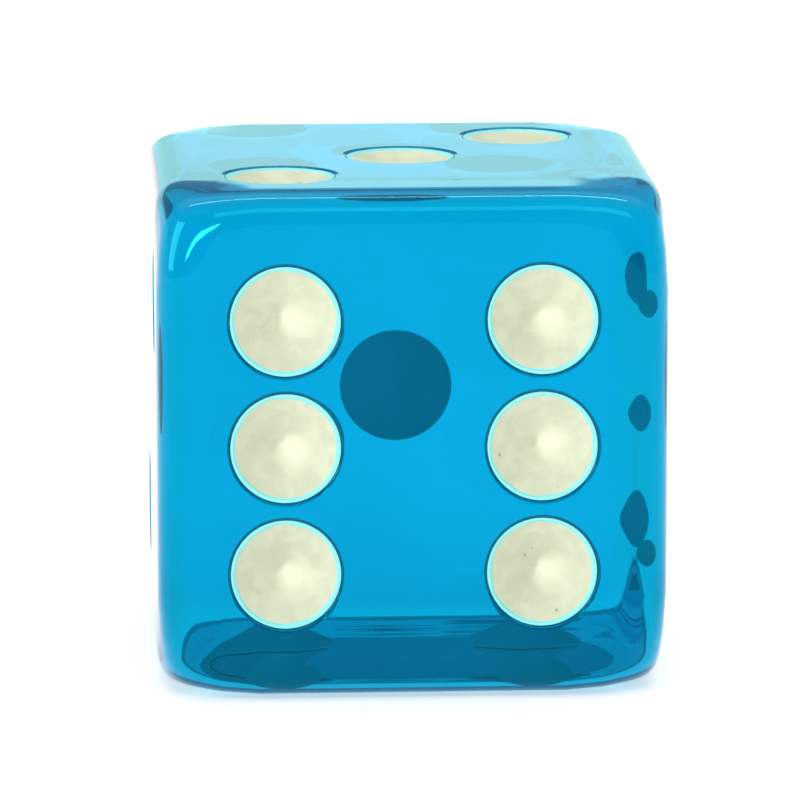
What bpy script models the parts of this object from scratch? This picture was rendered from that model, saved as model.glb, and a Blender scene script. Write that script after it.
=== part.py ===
"""A translucent resin die with twenty-one drilled and painted pips.

The die stands on its four face, with the origin at the middle of that face.
The three face is on top (+Z), the six face in front (-Y) and the five face
on the right (+X). Opposite faces add up to seven, and one, two and three run
counter-clockwise round the corner that they share.

Each pip is the pit that a drill leaves in the resin: a short straight wall,
the cone of the drill's point and the worn, rounded tip of that point. It is
lined with a film of white paint, a separate solid that stops just below the
face, so the die rests on resin and never on paint.
"""

import math

import bmesh
import bpy
from mathutils import Matrix, Vector

# Driving dimensions, in metres.
EDGE = 0.019
EDGE_ROUNDING = 0.09 * EDGE
PIP_OFFSET = 0.25 * EDGE
PIP_RADIUS = 0.1075 * EDGE
DRILL_POINT = math.radians(130.0)
TIP_ROUNDING = 0.04 * EDGE
STRAIGHT_WALL = 0.0065 * EDGE
FILM_THICKNESS = 0.00012
FILM_GAP = 0.00005
RIM_DROP = 0.00006
CUTTER_OVERSHOOT = 0.0005

# How finely the round shapes are divided.
ROUNDING_SEGMENTS = 7
PIP_SIDES = 24
TIP_STEPS = 2
WELD_DISTANCE = 0.000001
SHARP_ANGLE = math.radians(30.0)

# The section of the rounding is a superellipse. 0.5 would make it a circle, and
# 0.63 makes its exponent 3: flatter along the faces and tighter at the edge.
ROUNDING_PROFILE = 0.63

# Where pips sit on a face, counted in pip offsets to the right and up.
CENTRE = [(0, 0)]
DIAGONAL = [(-1, -1), (1, 1)]
CORNERS = DIAGONAL + [(-1, 1), (1, -1)]
SIDES = [(-1, 0), (1, 0)]
PIP_PATTERNS = {
    "one": CENTRE,
    "two": DIAGONAL,
    "three": CENTRE + DIAGONAL,
    "four": CORNERS,
    "five": CENTRE + CORNERS,
    "six": CORNERS + SIDES,
}

# Each face's outward direction, and the direction that is up on it.
FACE_DIRECTIONS = {
    "one": (Vector((0, 1, 0)), Vector((0, 0, 1))),
    "two": (Vector((-1, 0, 0)), Vector((0, 0, 1))),
    "three": (Vector((0, 0, 1)), Vector((0, 1, 0))),
    "four": (Vector((0, 0, -1)), Vector((0, -1, 0))),
    "five": (Vector((1, 0, 0)), Vector((0, 0, 1))),
    "six": (Vector((0, -1, 0)), Vector((0, 0, 1))),
}
ROW_NAMES = {1: "upper", 0: "middle", -1: "lower"}
COLUMN_NAMES = {1: "right", -1: "left"}


def clear_scene():
    """Remove every object, so that the script can be run again."""
    for existing in list(bpy.data.objects):
        bpy.data.objects.remove(existing, do_unlink=True)


def make_collection(name):
    """Make a collection in the scene."""
    collection = bpy.data.collections.new(name)
    bpy.context.scene.collection.children.link(collection)
    return collection


def make_material(name, colour, roughness, transmission=0.0):
    """Make a Principled material from a linear colour and its finish."""
    material = bpy.data.materials.new(name)
    material.use_nodes = True
    material.diffuse_color = (*colour, 1.0)
    shader = material.node_tree.nodes["Principled BSDF"]
    shader.inputs["Base Color"].default_value = (*colour, 1.0)
    shader.inputs["Roughness"].default_value = roughness
    shader.inputs["Metallic"].default_value = 0.0
    shader.inputs["IOR"].default_value = 1.49
    shader.inputs["Transmission Weight"].default_value = transmission
    return material


def add_object(name, mesh, collection, parent=None):
    """Put a mesh in the scene as a named object."""
    new_object = bpy.data.objects.new(name, mesh)
    new_object.parent = parent
    collection.objects.link(new_object)
    return new_object


def rounded_cube_mesh(material):
    """A cube with round edges and corners. Only the rounding is shaded smooth."""
    cube = bmesh.new()
    bmesh.ops.create_cube(cube, size=EDGE)
    rounding = bmesh.ops.bevel(
        cube,
        geom=list(cube.edges),
        offset=EDGE_ROUNDING,
        segments=ROUNDING_SEGMENTS,
        profile=ROUNDING_PROFILE,
        affect="EDGES",
    )
    for face in rounding["faces"]:
        face.smooth = True
    mesh = bpy.data.meshes.new("die_body")
    cube.to_mesh(mesh)
    cube.free()
    mesh.materials.append(material)
    return mesh


def turned_mesh(name, half_section, collection):
    """Turn a half section, given as radius and height, round the Z axis."""
    points = [(radius, 0.0, height) for radius, height in half_section]
    lines = [(i, i + 1) for i in range(len(points) - 1)]
    section = bpy.data.meshes.new(f"{name}_section")
    section.from_pydata(points, lines, [])
    turned = add_object(f"{name}_section", section, collection)
    screw = turned.modifiers.new("Turn", "SCREW")
    screw.axis = "Z"
    screw.angle = math.tau
    screw.steps = PIP_SIDES
    screw.render_steps = PIP_SIDES
    screw.use_merge_vertices = True
    screw.merge_threshold = WELD_DISTANCE
    graph = bpy.context.evaluated_depsgraph_get()
    mesh = bpy.data.meshes.new_from_object(turned.evaluated_get(graph))
    bpy.data.objects.remove(turned, do_unlink=True)
    mesh.name = name
    mesh.shade_smooth()
    mesh.set_sharp_from_angle(angle=SHARP_ANGLE)
    return mesh


def pit_outline(inset):
    """The drilled outline moved inward by inset, from its wall's foot to the axis.

    The cone and the ball of its tip touch without a corner at every inset,
    because the ball keeps its centre and gives up the same amount of radius.
    """
    half_point = DRILL_POINT / 2.0
    apex = -STRAIGHT_WALL - PIP_RADIUS / math.tan(half_point)
    ball_centre = apex + TIP_ROUNDING / math.sin(half_point)
    ball = TIP_ROUNDING - inset
    wall = PIP_RADIUS - inset
    foot = apex + inset / math.sin(half_point) + wall / math.tan(half_point)
    outline = [(wall, foot)]
    for step in range(TIP_STEPS + 1):
        angle = (math.pi / 2.0 - half_point) * (1.0 - step / TIP_STEPS)
        outline.append((ball * math.sin(angle), ball_centre - ball * math.cos(angle)))
    return outline


def drill_section():
    """The drill, tip down, from above the face that it enters at height 0."""
    shank = [(0.0, CUTTER_OVERSHOOT), (PIP_RADIUS, CUTTER_OVERSHOOT)]
    return shank + pit_outline(0.0)


def film_section():
    """The paint film: up its hollow, over its rim and down its back.

    The back keeps one gap to the pit, and the film is equally thick all over.
    """
    back_radius = PIP_RADIUS - FILM_GAP
    hollow_radius = back_radius - FILM_THICKNESS
    hollow = reversed(pit_outline(FILM_GAP + FILM_THICKNESS))
    rim = [(hollow_radius, -RIM_DROP), (back_radius, -RIM_DROP)]
    return [*hollow, *rim, *pit_outline(FILM_GAP)]


def face_matrix(face):
    """From a face's own axes (right, up, outward) to the die's, at the face's middle."""
    outward, up = FACE_DIRECTIONS[face]
    turn = Matrix((up.cross(outward), up, outward)).transposed()
    return Matrix.Translation(outward * EDGE / 2.0) @ turn.to_4x4()


def place_name(column, row):
    """What a person calls a pip's place on its face."""
    if column == 0 and row == 0:
        return "centre"
    return f"{ROW_NAMES[row]}_{COLUMN_NAMES[column]}"


def pip_places():
    """The name and the matrix of every pip on the die."""
    for face, pattern in PIP_PATTERNS.items():
        for column, row in pattern:
            offset = Matrix.Translation((column * PIP_OFFSET, row * PIP_OFFSET, 0.0))
            yield f"{face}_{place_name(column, row)}", face_matrix(face) @ offset


def build_die():
    """Build the resin body, drill its pits and line them with paint."""
    clear_scene()
    parts = make_collection("casino_die")
    cutters = make_collection("cutters")
    resin = make_material("cyan_resin", (0.0, 0.38, 0.74), 0.05, transmission=0.7)
    paint = make_material("white_paint", (0.81, 0.78, 0.64), 0.6)

    body = add_object("die_body", rounded_cube_mesh(resin), parts)
    body.location.z = EDGE / 2.0
    drill = turned_mesh("drill", drill_section(), cutters)
    film = turned_mesh("paint_film", film_section(), parts)
    film.materials.append(paint)
    for name, matrix in pip_places():
        cutter = add_object(f"cut_{name}", drill, cutters, parent=body)
        cutter.matrix_local = matrix
        cutter.display_type = "WIRE"
        cutter.hide_render = True
        pip = add_object(f"pip_{name}", film, parts, parent=body)
        pip.matrix_local = matrix

    pits = body.modifiers.new("Pits", "BOOLEAN")
    pits.operation = "DIFFERENCE"
    pits.operand_type = "COLLECTION"
    pits.collection = cutters
    pits.solver = "EXACT"


build_die()
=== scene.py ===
"""The looks of a translucent casino die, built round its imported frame.

The resin is one polished body whose edges are eased the way buffing eases
them: each face stays flat almost to its end, the edges turn quickly, and the
corners are rounder than the edges. Every pit is the shape that a worn drill
leaves, with a soft lip at its mouth. The paint clings to the pit and ends in a
bead round the mouth, where the rest was wiped off the face.
"""

import math
import random

import bmesh
import bpy
from mathutils import Matrix, Vector, noise


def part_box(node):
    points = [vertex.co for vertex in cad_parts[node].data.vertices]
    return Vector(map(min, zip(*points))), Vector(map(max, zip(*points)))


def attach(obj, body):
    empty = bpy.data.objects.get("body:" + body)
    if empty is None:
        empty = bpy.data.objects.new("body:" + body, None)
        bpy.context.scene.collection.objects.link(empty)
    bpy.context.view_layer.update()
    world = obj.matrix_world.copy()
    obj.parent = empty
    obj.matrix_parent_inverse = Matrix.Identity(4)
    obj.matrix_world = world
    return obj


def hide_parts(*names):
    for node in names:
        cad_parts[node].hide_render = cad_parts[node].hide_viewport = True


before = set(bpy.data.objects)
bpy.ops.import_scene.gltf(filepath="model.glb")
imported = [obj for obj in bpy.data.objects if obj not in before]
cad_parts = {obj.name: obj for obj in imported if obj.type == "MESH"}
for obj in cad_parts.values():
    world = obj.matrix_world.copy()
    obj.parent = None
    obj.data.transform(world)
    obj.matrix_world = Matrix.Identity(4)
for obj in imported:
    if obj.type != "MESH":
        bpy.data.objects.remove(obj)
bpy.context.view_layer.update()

BODY = "die_body"
PIPS = sorted(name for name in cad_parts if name.startswith("pip_"))
LOW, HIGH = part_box(BODY)
CENTRE = (LOW + HIGH) / 2
EDGE = HIGH.x - LOW.x
HALF = EDGE / 2
MM = 0.001

# The body's rounding. The section of its edges is a superellipse of EXPONENT,
# and CORNER_PULL draws the corners in further than the edges alone would.
ROUNDING = 0.095 * EDGE
EXPONENT = 3.7
CORNER_REACH = 0.2 * EDGE
CORNER_PULL = 2.6
GRID_EXPONENT = 6.0
ROUNDING_SEGMENTS = 32
PULL_STEPS = 40
SHARP_ANGLE = math.radians(30)

# The drilled pits: a short wall, the cone of the drill's point and its worn tip.
PIP_RADIUS = 0.1075 * EDGE
STRAIGHT_WALL = 0.0065 * EDGE
HALF_POINT = math.radians(65.0)
TIP_ROUNDING = 0.04 * EDGE
TIP_STEPS = 14
APEX = -STRAIGHT_WALL - PIP_RADIUS / math.tan(HALF_POINT)
BALL_CENTRE = APEX + TIP_ROUNDING / math.sin(HALF_POINT)
PIP_SIDES = 112

# The soft lip at a pit's mouth, and how much of its width the paint covers.
LIP_WIDTH = 0.20 * MM
LIP_DROP = 0.12 * MM
LIP_STEPS = 8
PAINTED_LIP = 0.6

# The paint. Its back is sunk into the resin by EMBED, so that no air shows between them.
EMBED = 0.03 * MM
FILM = 0.07 * MM
HOLLOW_RINGS = 40
RING_CROWDING = 0.8
BEAD_WIDTH = 0.16 * MM
BEAD_DROP = 0.05 * MM
BEAD_STEPS = 10
BEAD_FULLNESS = 1.5
FILM_SHARP_ANGLE = math.radians(50)

# How far the paint's surface is off true: a coarse and a fine repeat per metre, and how much.
MOTTLE_REPEATS = (1200, 3000)
MOTTLE_HEIGHT = 0.006 * MM
RAGGED_REPEATS = (1500, 4000)
RAGGED_SHARE = 0.025

# The pale spot at the tip, a painted highlight for the light the tip catches, drawn as if the paint
# had pooled there and run off to one side. The side is drawn between the last two angles, in radians
# from the pip's right.
TIP_HIGHLIGHT_REACH = 0.4 * PIP_RADIUS
TIP_HIGHLIGHT_RUN = 0.7
TIP_HIGHLIGHT_FADE = 1.5
TIP_HIGHLIGHT_DIRECTIONS = (-0.9, 0.1)

# What the resin lets through of red, green and blue: at a face; at an edge's rounding, painted shade
# that is darker for the dark outlines light gives the edges; and inside, along one edge's length.
# Then the tint of what it mirrors.
FACE_TINT = (0.005, 0.308, 0.548)
ROUNDING_PAINTED_SHADE = (0.01, 0.31, 0.44)
DEPTH_TINT = (0.10, 0.86, 0.95)
GLOSS_TINT = (0.04, 0.9, 1.0, 1)
CLOUD_SPREAD = (0.96, 1.05)
RESIN_IOR = 1.49

# How rough the marks on the resin are, and how deep, counted in the bump's distance.
SMUDGE_ROUGHNESS = 0.012
SCUFF_ROUGHNESS = 0.09
SCRATCH_ROUGHNESS = 0.12
WAVE_DEPTH = 0.5
SCRATCH_DEPTH = 0.10
DENT_DEPTH = 4.0
RESIN_BUMP = 0.005 * MM
PAINT_BUMP = 0.008 * MM

# The paint's colours: its cream, what lies on it, its painted highlight at the tip, its thin bead,
# painted pale cyan partly for the resin showing through and partly for the light shining through it
# from the resin, and its back, painted blue for the shade it lies in.
CREAM_DARK = (0.53, 0.555, 0.395)
CREAM_LIGHT = (0.60, 0.63, 0.46)
CREAM_TIP_HIGHLIGHT = (0.81, 0.85, 0.63)
SPECK = (0.30, 0.22, 0.13)
BEAD_LIT_THROUGH = (0.235, 0.735, 0.735)
BACK_PAINTED_SHADE = (0.35, 0.62, 0.66)

# The floor. It glows white, and under the die a painted cyan glow stands in for the light that the
# resin gathers there.
# That cyan starts to fade and ends at these shares of the way from the die's middle to its side.
WHITE = (1.0, 1.0, 1.0)
FLOOR_GAP = 0.12 * MM
FLOOR_SIZE = 4
FLOOR_DARK = (0.77, 0.77, 0.77)
FLOOR_LIGHT = (0.79, 0.79, 0.79)
FLOOR_GLOW = 0.43
PAINTED_GATHERED_LIGHT = (1.0, 2.4, 2.6)
GATHERED_SHARES = (0.55, 0.98)

# The studio. Where one part of its sky turns into another is a range of elevation in degrees,
# or of the direction's share away from the camera or to either side.
SKY_DIM = (0.16, 0.40, 0.53)
SKY_SIDES = (0.28, 0.62, 0.75)
SKY_BACKDROP = (0.72, 1.42, 1.42)
SKY_OVERHEAD = (0.88, 0.88, 0.88)
BACKDROP_TOP = (9, 12)
OVERHEAD_START = (38, 50)
BEHIND = (-0.5, 0.3)
ASIDE = (0.5, 0.9)
LIGHT_DISTANCE = 0.6

# The photograph's viewpoint: a little left of the die and a little above it.
CAMERA_AZIMUTH = -3.2
CAMERA_ELEVATION = 10.7
CAMERA_DISTANCE = 13.5 * EDGE
WIDTH_IN_VIEW = 0.62
SENSOR_WIDTH = 36


def link(piece):
    """Put an object in the scene."""
    bpy.context.scene.collection.objects.link(piece)
    return piece


def mesh_object(name, bm):
    """Turn a finished bmesh into an object in the scene."""
    mesh = bpy.data.meshes.new(name)
    bm.to_mesh(mesh)
    bm.free()
    return link(bpy.data.objects.new(name, mesh))


def add_turned(bm, section, sides):
    """Add the closed turned shape of a half section that runs from the axis back to the axis.

    Returns its rings of vertices, the two on the axis as rings of one.
    """
    turns = [math.tau * i / sides for i in range(sides)]
    rings = []
    for radius, height in section:
        ring = [(radius * math.cos(turn), radius * math.sin(turn), height) for turn in turns]
        rings.append([bm.verts.new(point) for point in (ring if radius else ring[:1])])
    for upper, lower in zip(rings, rings[1:]):
        for i in range(sides):
            j = (i + 1) % sides
            corners = [upper[i % len(upper)], lower[i % len(lower)]]
            corners += [lower[j % len(lower)], upper[j % len(upper)]]
            bm.faces.new(list(dict.fromkeys(corners)))
    return rings


def pip_matrix(node):
    """A pip's own frame: the middle of its mouth on the face, with Z outward."""
    low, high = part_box(node)
    size = high - low
    axis = min(range(3), key=lambda i: size[i])
    mouth = (low + high) / 2
    outward = Vector((0, 0, 0))
    outward[axis] = math.copysign(1, (mouth - CENTRE)[axis])
    mouth[axis] = (CENTRE + outward * HALF)[axis]
    up = Vector((0, 0, 1)) if axis != 2 else Vector((0, outward.z, 0))
    turn = Matrix((up.cross(outward), up, outward)).transposed()
    return Matrix.Translation(mouth) @ turn.to_4x4()


def excess(p, reach):
    """How far a point is outside a cube that is reach smaller: on each axis, 1 at the face."""
    inner = HALF - reach
    return [max(abs(c) - inner, 0) / reach for c in p]


def fullness(p):
    """The body's surface is where this is 1, for a point measured from the body's middle."""
    s = excess(p, ROUNDING)
    t = excess(p, CORNER_REACH)
    return sum(a ** EXPONENT for a in s) + CORNER_PULL * (t[0] * t[1] * t[2]) ** 2


def surface_normal(p):
    """The direction in which fullness grows fastest."""
    s = excess(p, ROUNDING)
    t = excess(p, CORNER_REACH)
    product = t[0] * t[1] * t[2]
    slope = []
    for i in range(3):
        edge = EXPONENT * s[i] ** (EXPONENT - 1) / ROUNDING
        corner = 2 * CORNER_PULL * product * t[i - 1] * t[i - 2] / CORNER_REACH
        slope.append(math.copysign(edge + corner, p[i]))
    return Vector(slope).normalized()


def pull_to_surface(p):
    """Slide a point of the bevelled cube along its own rounding until it lies on the surface."""
    inner = HALF - CORNER_REACH
    root = Vector([min(max(c, -inner), inner) for c in p])
    ball = (p - root) / CORNER_REACH
    out = Vector([math.copysign(abs(c) ** (2 / GRID_EXPONENT), c) for c in ball]) * CORNER_REACH
    near, far = 0.5, 1.5
    for _ in range(PULL_STEPS):
        middle = (near + far) / 2
        if fullness(root + out * middle) > 1:
            far = middle
        else:
            near = middle
    return root + out * near


def pit_height(radius, inset):
    """The height of the drilled shape at a radius, when it is moved inward by inset."""
    ball = TIP_ROUNDING - inset
    if radius < ball * math.cos(HALF_POINT):
        return BALL_CENTRE - math.sqrt(ball * ball - radius * radius)
    return APEX + inset / math.sin(HALF_POINT) + radius / math.tan(HALF_POINT)


def pit_outline(inset):
    """The drilled shape moved inward by inset, from its wall's foot to the axis."""
    ball = TIP_ROUNDING - inset
    wall = PIP_RADIUS - inset
    outline = [(wall, pit_height(wall, inset))]
    for step in range(TIP_STEPS):
        angle = (math.pi / 2 - HALF_POINT) * (1 - step / TIP_STEPS)
        outline.append((ball * math.sin(angle), BALL_CENTRE - ball * math.cos(angle)))
    outline.append((0, BALL_CENTRE - ball))
    return outline


def lip_outline(reach, inset):
    """The soft lip sunk by inset, from the pit's wall outward over this share of its width."""
    outline = []
    for step in range(LIP_STEPS + 1):
        share = reach * step / LIP_STEPS
        drop = LIP_DROP * (1 - math.sqrt(1 - (1 - share) ** 2))
        outline.append((PIP_RADIUS + LIP_WIDTH * share, -drop - inset))
    return outline


def drill_section():
    """The drill with the soft lip that polishing leaves at the mouth."""
    above = 4 * LIP_DROP
    lip = reversed(lip_outline(1, 0))
    return [(0, above), (PIP_RADIUS + LIP_WIDTH, above), *lip, *pit_outline(0)]


def drills():
    """All the pits' cutters as one object."""
    bm = bmesh.new()
    for node in PIPS:
        one = bmesh.new()
        add_turned(one, drill_section(), PIP_SIDES)
        one.transform(pip_matrix(node))
        scratch = bpy.data.meshes.new("scratch")
        one.to_mesh(scratch)
        one.free()
        bm.from_mesh(scratch)
        bpy.data.meshes.remove(scratch)
    for face in bm.faces:
        face.material_index = 1
    return mesh_object("drills", bm)


def resin_body():
    """The polished cube with its pits cut out."""
    bm = bmesh.new()
    bmesh.ops.create_cube(bm, size=EDGE)
    bmesh.ops.bevel(bm, geom=list(bm.edges), offset=CORNER_REACH, segments=ROUNDING_SEGMENTS,
                    profile=0.5, affect="EDGES")
    for vert in bm.verts:
        vert.co = CENTRE + pull_to_surface(vert.co)
    body = mesh_object("resin_body", bm)
    cutter = drills()
    cut = body.modifiers.new("Pits", "BOOLEAN")
    cut.operation = "DIFFERENCE"
    cut.object = cutter
    cut.solver = "EXACT"
    cut.material_mode = "INDEX"
    graph = bpy.context.evaluated_depsgraph_get()
    mesh = bpy.data.meshes.new_from_object(body.evaluated_get(graph))
    body.modifiers.clear()
    body.data = mesh
    bpy.data.objects.remove(cutter)
    polish(mesh)
    return body


def polish(mesh):
    """Give the outside its exact normals and mark how far into the edges' rounding it is.

    The pits, which the cut left as material 1, keep their own normals.
    """
    mesh.shade_smooth()
    mesh.set_sharp_from_angle(angle=SHARP_ANGLE)
    normals = []
    for polygon in mesh.polygons:
        outside = polygon.material_index == 0
        for loop in polygon.loop_indices:
            p = mesh.vertices[mesh.loops[loop].vertex_index].co - CENTRE
            normals.append(surface_normal(p) if outside else Vector((0, 0, 0)))
    mesh.normals_split_custom_set(normals)
    for polygon in mesh.polygons:
        polygon.material_index = 0
    edge = mesh.attributes.new("edge", "FLOAT", "POINT")
    for vert, value in zip(mesh.vertices, edge.data):
        value.value = sorted(excess(vert.co - CENTRE, ROUNDING))[1]


def film_section():
    """The paint film: up its hollow, over the bead at the mouth and down its back."""
    hollow = PIP_RADIUS - BEAD_WIDTH
    section = []
    for ring in range(HOLLOW_RINGS + 1):
        radius = hollow * (ring / HOLLOW_RINGS) ** RING_CROWDING
        section.append((radius, pit_height(radius, FILM)))
    foot = section[-1][1]
    for step in range(1, BEAD_STEPS + 1):
        share = step / BEAD_STEPS
        rise = math.sin(math.pi / 2 * min(1, 2 * share)) ** BEAD_FULLNESS
        section.append((hollow + BEAD_WIDTH * share, foot + (-BEAD_DROP - foot) * rise))
    section += lip_outline(PAINTED_LIP, EMBED)
    return section + pit_outline(-EMBED)


def unevenness(point, repeats, offset):
    """Smooth noise at a point: coarse, with half as much of a finer one."""
    coarse, fine = repeats
    return noise.noise(point * coarse + offset) + 0.5 * noise.noise(point * fine + offset)


def tip_highlight_share(point, direction):
    """How strong the painted highlight at the tip is at a point: 1 on the pit's axis and 0 outside
    the spot.
    """
    angle = math.atan2(point.y, point.x)
    reach = TIP_HIGHLIGHT_REACH * (1 + TIP_HIGHLIGHT_RUN * math.cos(angle - direction))
    return max(0, 1 - point.xy.length / reach) ** TIP_HIGHLIGHT_FADE


def paint_film(node, seed):
    """The paint in one pit, mottled, with a slightly ragged bead round the mouth."""
    draw = random.Random(seed)
    offset = Vector([draw.uniform(-10, 10) for _ in range(3)])
    direction = draw.uniform(*TIP_HIGHLIGHT_DIRECTIONS)
    bm = bmesh.new()
    bead = bm.verts.layers.float.new("bead")
    back = bm.verts.layers.float.new("back")
    tip_highlight = bm.verts.layers.float.new("tip_highlight")
    rings = add_turned(bm, film_section(), PIP_SIDES)
    last = HOLLOW_RINGS + BEAD_STEPS
    for index, ring in enumerate(rings[:last + 1]):
        for vert in ring:
            # Painted highlight: how pale the tip is drawn, for the light it catches.
            vert[tip_highlight] = tip_highlight_share(vert.co, direction)
            vert.co.z += MOTTLE_HEIGHT * unevenness(vert.co, MOTTLE_REPEATS, offset)
            if index >= HOLLOW_RINGS:
                fade = 1 - (index - HOLLOW_RINGS) / BEAD_STEPS
                ragged = unevenness(vert.co, RAGGED_REPEATS, offset)
                vert.co.xy *= 1 + RAGGED_SHARE * ragged * fade
                vert[bead] = 1
    for ring in rings[last + 1:]:
        for vert in ring:
            vert[back] = 1
    bm.transform(pip_matrix(node))
    piece = mesh_object(node.replace("pip", "paint"), bm)
    piece.data.shade_smooth()
    piece.data.set_sharp_from_angle(angle=FILM_SHARP_ANGLE)
    return piece


def add_node(tree, kind, inputs, **settings):
    """Add a shader node. An input is a value, or another node's output to link."""
    node = tree.nodes.new(kind)
    for name, value in settings.items():
        setattr(node, name, value)
    for name, value in inputs.items():
        if isinstance(value, bpy.types.NodeSocket):
            tree.links.new(value, node.inputs[name])
        else:
            node.inputs[name].default_value = value
    return node


def noise_value(tree, place, scale, detail=2.0, distortion=0.0):
    """A noise texture's value, scaled in repeats per metre."""
    inputs = {"Vector": place, "Scale": scale, "Detail": detail, "Distortion": distortion}
    return add_node(tree, "ShaderNodeTexNoise", inputs).outputs["Fac"]


def remap(tree, value, low, high, to_low=0.0, to_high=1.0):
    """Ease a value from one range to another, and keep it there."""
    inputs = {"Value": value, "From Min": low, "From Max": high, "To Min": to_low, "To Max": to_high}
    node = add_node(tree, "ShaderNodeMapRange", inputs, interpolation_type="SMOOTHSTEP")
    return node.outputs["Result"]


def math_node(tree, operation, first, second):
    """A sum, product or other result of two values."""
    node = add_node(tree, "ShaderNodeMath", {}, operation=operation)
    for socket, value in zip(node.inputs, (first, second)):
        if isinstance(value, bpy.types.NodeSocket):
            tree.links.new(value, socket)
        else:
            socket.default_value = value
    return node.outputs["Value"]


def mix_colours(tree, factor, first, second):
    """One colour where the factor is 0, the other where it is 1."""
    node = add_node(tree, "ShaderNodeMix", {}, data_type="RGBA")
    for name, value in (("Factor_Float", factor), ("A_Color", first), ("B_Color", second)):
        socket = next(s for s in node.inputs if s.identifier == name)
        if isinstance(value, bpy.types.NodeSocket):
            tree.links.new(value, socket)
        else:
            socket.default_value = (*value, 1)
    return next(s for s in node.outputs if s.identifier == "Result_Color")


def attribute(tree, name):
    """The value that a piece's mesh carries under this name."""
    return add_node(tree, "ShaderNodeAttribute", {}, attribute_name=name).outputs["Fac"]


def new_material(name):
    """A material with its tree, its shader and the coordinates of the object it is on."""
    material = bpy.data.materials.new(name)
    material.use_nodes = True
    tree = material.node_tree
    place = add_node(tree, "ShaderNodeTexCoord", {}).outputs["Object"]
    return material, tree, tree.nodes["Principled BSDF"], place


def add_bump(tree, shader, height, strength, distance):
    """Let a height lift the shader's surface by up to a distance."""
    inputs = {"Height": height, "Strength": strength, "Distance": distance}
    bump = add_node(tree, "ShaderNodeBump", inputs)
    tree.links.new(bump.outputs["Normal"], shader.inputs["Normal"])


def scratches(tree, place):
    """Hair-fine scratches in two directions, 1 in a scratch and 0 elsewhere."""
    found = None
    for spin in (0.5, 2.1):
        stretch = {"Vector": place, "Rotation": (spin, 0.7 * spin, spin), "Scale": (1.0, 0.03, 1.0)}
        along = add_node(tree, "ShaderNodeMapping", stretch).outputs["Vector"]
        streak = noise_value(tree, along, scale=6000.0, detail=1.0, distortion=0.3)
        line = remap(tree, streak, 0.76, 0.80)
        patch = remap(tree, noise_value(tree, place, scale=260.0), 0.52, 0.62)
        line = math_node(tree, "MULTIPLY", line, patch)
        found = line if found is None else math_node(tree, "MAXIMUM", found, line)
    return found


def sparse_spots(tree, place, repeats, size, channel, chosen):
    """Small round spots in a few of a texture's cells, 1 in the middle of a spot.

    Size is where a spot starts and stops fading, in cells, and chosen is the range of the
    cells' random colour channel over which a cell comes to have a spot.
    """
    cells = add_node(tree, "ShaderNodeTexVoronoi", {"Vector": place, "Scale": repeats})
    spot = remap(tree, cells.outputs["Distance"], *size, 1.0, 0.0)
    apart = add_node(tree, "ShaderNodeSeparateColor", {"Color": cells.outputs["Color"]})
    return math_node(tree, "MULTIPLY", spot, remap(tree, apart.outputs[channel], *chosen))


def resin_colour(tree, place, edge):
    """Cloudy cyan, with painted shade on the rounding: darker and deeper there for the dark outlines
    that light gives the edges.
    """
    cloud = remap(tree, noise_value(tree, place, scale=90.0, detail=3.0, distortion=0.6), 0.3, 0.7)
    darker, lighter = ([share * c for c in FACE_TINT] for share in CLOUD_SPREAD)
    clear = mix_colours(tree, cloud, darker, lighter)
    # Painted shade: the edges' rounding is drawn darker, for the dark outlines that light gives
    # them.
    return mix_colours(tree, remap(tree, edge, 0.0, 0.9), clear, ROUNDING_PAINTED_SHADE)


def resin_roughness(tree, place, edge, scratch):
    """Polished, with smudges and scratches, and scuffed in places along the edges."""
    patches = remap(tree, noise_value(tree, place, scale=900.0, detail=4.0), 0.45, 0.7)
    scuff = math_node(tree, "MULTIPLY", remap(tree, edge, 0.55, 0.85), patches)
    smears = noise_value(tree, place, scale=150.0, detail=4.0, distortion=1.0)
    smudge = remap(tree, smears, 0.5, 0.75, 0.0, SMUDGE_ROUGHNESS)
    rough = math_node(tree, "ADD", smudge, math_node(tree, "MULTIPLY", scuff, SCUFF_ROUGHNESS))
    return math_node(tree, "ADD", rough, math_node(tree, "MULTIPLY", scratch, SCRATCH_ROUGHNESS))


def resin_height(tree, place, scratch):
    """The faint waves that polishing leaves, cut by scratches and tiny dents."""
    waves = noise_value(tree, place, scale=220.0, detail=1.0)
    cuts = math_node(tree, "MULTIPLY", scratch, SCRATCH_DEPTH)
    height = math_node(tree, "SUBTRACT", math_node(tree, "MULTIPLY", waves, WAVE_DEPTH), cuts)
    dents = sparse_spots(tree, place, 520.0, (0.03, 0.09), "Red", (0.90, 0.91))
    return math_node(tree, "SUBTRACT", height, math_node(tree, "MULTIPLY", dents, DENT_DEPTH))


def resin_material():
    """Clear cyan resin, polished, handled and a little scuffed along its edges."""
    material, tree, shader, place = new_material("polished_resin")
    shader.inputs["IOR"].default_value = RESIN_IOR
    shader.inputs["Transmission Weight"].default_value = 1.0
    shader.inputs["Specular Tint"].default_value = GLOSS_TINT
    edge = attribute(tree, "edge")
    scratch = scratches(tree, place)
    tree.links.new(resin_colour(tree, place, edge), shader.inputs["Base Color"])
    tree.links.new(resin_roughness(tree, place, edge, scratch), shader.inputs["Roughness"])
    add_bump(tree, shader, resin_height(tree, place, scratch), 0.6, RESIN_BUMP)

    rates = [-math.log(t) / EDGE for t in DEPTH_TINT]
    density = max(rates)
    passed = (*[1 - rate / density for rate in rates], 1)
    absorb = add_node(tree, "ShaderNodeVolumeAbsorption", {"Density": density, "Color": passed})
    tree.links.new(absorb.outputs["Volume"], tree.nodes["Material Output"].inputs["Volume"])
    return material


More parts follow.
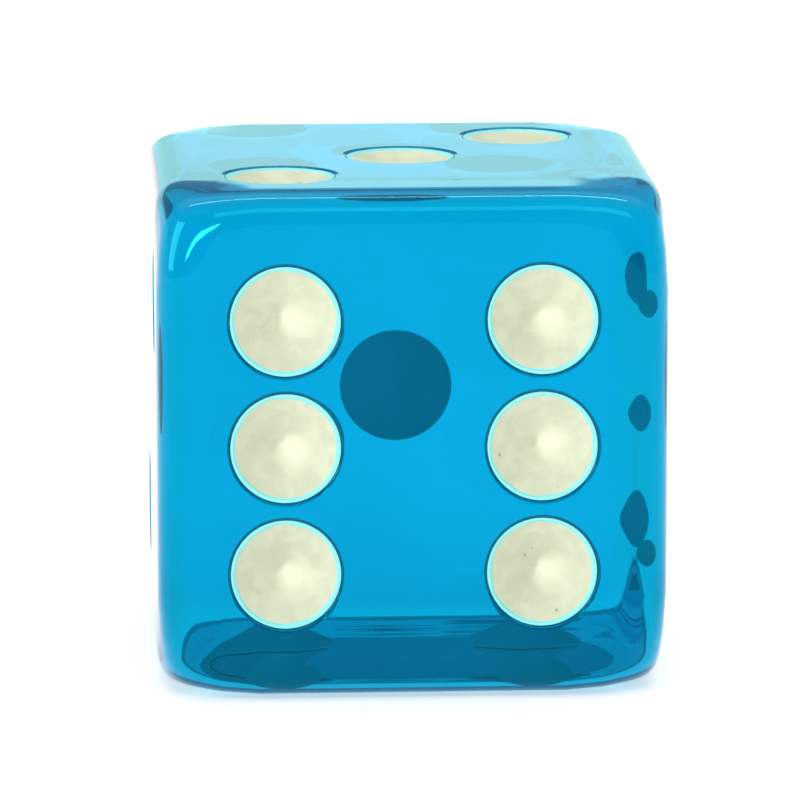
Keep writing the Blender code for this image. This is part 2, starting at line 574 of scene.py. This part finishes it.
def paint_colour(tree, place, mottle):
    """Mottled, specked cream, with a painted highlight where the tip catches light, a thin bead
    painted pale cyan for the light coming through it from the resin, and a back painted blue for the
    shade it lies in.
    """
    cream = mix_colours(tree, mottle, CREAM_DARK, CREAM_LIGHT)
    specks = sparse_spots(tree, place, 2600.0, (0.10, 0.22), "Green", (0.955, 0.965))
    colour = mix_colours(tree, math_node(tree, "MULTIPLY", specks, 0.7), cream, SPECK)
    # Painted highlight: the tip is drawn paler, for the light it catches.
    colour = mix_colours(tree, attribute(tree, "tip_highlight"), colour, CREAM_TIP_HIGHLIGHT)
    ragged = math_node(tree, "MULTIPLY", noise_value(tree, place, scale=5200.0), 0.5)
    thin = remap(tree, math_node(tree, "ADD", attribute(tree, "bead"), ragged), 0.95, 1.1)
    # The bead is painted pale cyan: partly the resin showing through the thin paint, partly painted
    # light shining through it from behind.
    colour = mix_colours(tree, thin, colour, BEAD_LIT_THROUGH)
    # Painted shade: the paint's back is drawn blue, for the shade it lies in inside the resin.
    return mix_colours(tree, attribute(tree, "back"), colour, BACK_PAINTED_SHADE)


def paint_material():
    """Matt cream paint with the grain of a dried film."""
    material, tree, shader, place = new_material("pip_paint")
    clouds = noise_value(tree, place, scale=1400.0, detail=4.0, distortion=0.5)
    mottle = remap(tree, clouds, 0.32, 0.68)
    tree.links.new(paint_colour(tree, place, mottle), shader.inputs["Base Color"])
    tree.links.new(remap(tree, mottle, 0.0, 1.0, 0.45, 0.68), shader.inputs["Roughness"])
    grain = math_node(tree, "ADD", noise_value(tree, place, scale=5000.0, detail=3.0), mottle)
    add_bump(tree, shader, grain, 0.5, PAINT_BUMP)
    return material


def floor_glow(tree, place):
    """White, with a painted cyan glow under the die for the light the resin gathers there."""
    apart = add_node(tree, "ShaderNodeSeparateXYZ", {"Vector": place})
    away = [math_node(tree, "ABSOLUTE", apart.outputs[axis], 0.0) for axis in "XY"]
    start, end = (share * HALF for share in GATHERED_SHARES)
    under = remap(tree, math_node(tree, "MAXIMUM", *away), start, end, 1.0, 0.0)
    # Painted light: the cyan glow under the die stands in for the light the resin gathers there.
    return mix_colours(tree, under, WHITE, PAINTED_GATHERED_LIGHT)


def build_floor():
    """A plain pale floor just under the die."""
    bpy.ops.mesh.primitive_plane_add(size=FLOOR_SIZE, location=(0, 0, LOW.z - FLOOR_GAP))
    floor = bpy.context.object
    floor.name = "floor"
    material, tree, shader, place = new_material("floor")
    paper = remap(tree, noise_value(tree, place, scale=700.0, detail=4.0), 0.3, 0.7)
    tree.links.new(mix_colours(tree, paper, FLOOR_DARK, FLOOR_LIGHT), shader.inputs["Base Color"])
    shader.inputs["Roughness"].default_value = 0.9
    shader.inputs["Specular IOR Level"].default_value = 0.1
    tree.links.new(floor_glow(tree, place), shader.inputs["Emission Color"])
    shader.inputs["Emission Strength"].default_value = FLOOR_GLOW
    floor.data.materials.append(material)


def heights(elevations):
    """How high directions of length 1 reach at these elevations, in degrees."""
    return [math.sin(math.radians(elevation)) for elevation in elevations]


def build_world():
    """A studio: bright low behind the die, dim above that and in front, and bright again overhead.

    The resin shows the studio's cool colours. Matt surfaces get the same light in grey, and the
    camera itself sees plain white, like the floor.
    """
    world = bpy.data.worlds.new("studio")
    bpy.context.scene.world = world
    world.use_nodes = True
    tree = world.node_tree
    direction = add_node(tree, "ShaderNodeTexCoord", {}).outputs["Generated"]
    apart = add_node(tree, "ShaderNodeSeparateXYZ", {"Vector": direction})
    sideways, away, height = (apart.outputs[axis] for axis in "XYZ")
    backdrop = remap(tree, height, *heights(BACKDROP_TOP), 1.0, 0.0)
    behind = remap(tree, away, *BEHIND)
    overhead = remap(tree, height, *heights(OVERHEAD_START))
    aside = remap(tree, math_node(tree, "ABSOLUTE", sideways, 0.0), *ASIDE)
    light = mix_colours(tree, aside, SKY_DIM, SKY_SIDES)
    light = mix_colours(tree, math_node(tree, "MULTIPLY", backdrop, behind), light, SKY_BACKDROP)
    light = mix_colours(tree, overhead, light, SKY_OVERHEAD)
    ray = add_node(tree, "ShaderNodeLightPath", {})
    grey = add_node(tree, "ShaderNodeRGBToBW", {"Color": light}).outputs["Val"]
    light = mix_colours(tree, ray.outputs["Is Diffuse Ray"], light, grey)
    light = mix_colours(tree, ray.outputs["Is Camera Ray"], light, WHITE)
    tree.links.new(light, tree.nodes["Background"].inputs["Color"])


def direction_to(azimuth, elevation):
    """The direction from the die, in degrees: azimuth 0 is in front, positive to the right."""
    a, e = math.radians(azimuth), math.radians(elevation)
    return Vector((math.sin(a) * math.cos(e), -math.cos(a) * math.cos(e), math.sin(e)))


def aim_at_die(thing, azimuth, elevation, distance):
    """Put a light or the camera at a distance in a direction, facing the die."""
    towards = direction_to(azimuth, elevation)
    thing.location = CENTRE + towards * distance
    thing.rotation_mode = "QUATERNION"
    thing.rotation_quaternion = towards.to_track_quat("Z", "Y")


def area_light(name, azimuth, elevation, size, radiance, mirrored=True):
    """A rectangular soft light that faces the die. It is never seen through the resin."""
    data = bpy.data.lights.new(name, "AREA")
    data.shape = "RECTANGLE"
    data.size, data.size_y = size
    data.energy = radiance * math.pi * size[0] * size[1]
    light = link(bpy.data.objects.new(name, data))
    light.visible_transmission = False
    light.visible_glossy = mirrored
    aim_at_die(light, azimuth, elevation, LIGHT_DISTANCE)


def build_lights():
    """Two windows on the left, a strip in front, a narrow one overhead, and fill from behind."""
    area_light("window", -16, 8, size=(0.04, 0.05), radiance=18.0)
    area_light("side_window", -60, 18, size=(0.26, 0.30), radiance=6.8)
    area_light("strip", 8, 36, size=(0.60, 0.16), radiance=3.2)
    area_light("overhead", 180, 76, size=(0.60, 0.05), radiance=10.5)
    area_light("fill", 130, 15, size=(0.50, 0.40), radiance=2.0, mirrored=False)


def build_camera():
    """The camera, far enough off for a close-up, with the die filling most of the view."""
    data = bpy.data.cameras.new("camera")
    data.sensor_width = SENSOR_WIDTH
    data.lens = SENSOR_WIDTH * CAMERA_DISTANCE * WIDTH_IN_VIEW / EDGE
    data.clip_start = 0.01
    data.clip_end = 5
    camera = link(bpy.data.objects.new("camera", data))
    aim_at_die(camera, CAMERA_AZIMUTH, CAMERA_ELEVATION, CAMERA_DISTANCE)
    bpy.context.scene.camera = camera


def set_light_paths():
    """Let light bounce often enough to leave the resin, and show colours as they are."""
    scene = bpy.context.scene
    scene.view_settings.view_transform = "Standard"
    scene.cycles.max_bounces = 24
    scene.cycles.transmission_bounces = 24
    scene.cycles.glossy_bounces = 12
    scene.cycles.diffuse_bounces = 6


def place_piece(piece, node, material):
    """Give a piece its material and let it stand for its CAD node."""
    piece.data.materials.clear()
    piece.data.materials.append(material)
    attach(piece, "root")
    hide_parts(node)


place_piece(resin_body(), BODY, resin_material())
paint = paint_material()
for seed, node in enumerate(PIPS):
    place_piece(paint_film(node, seed), node, paint)

build_floor()
build_world()
build_lights()
build_camera()
set_light_paths()
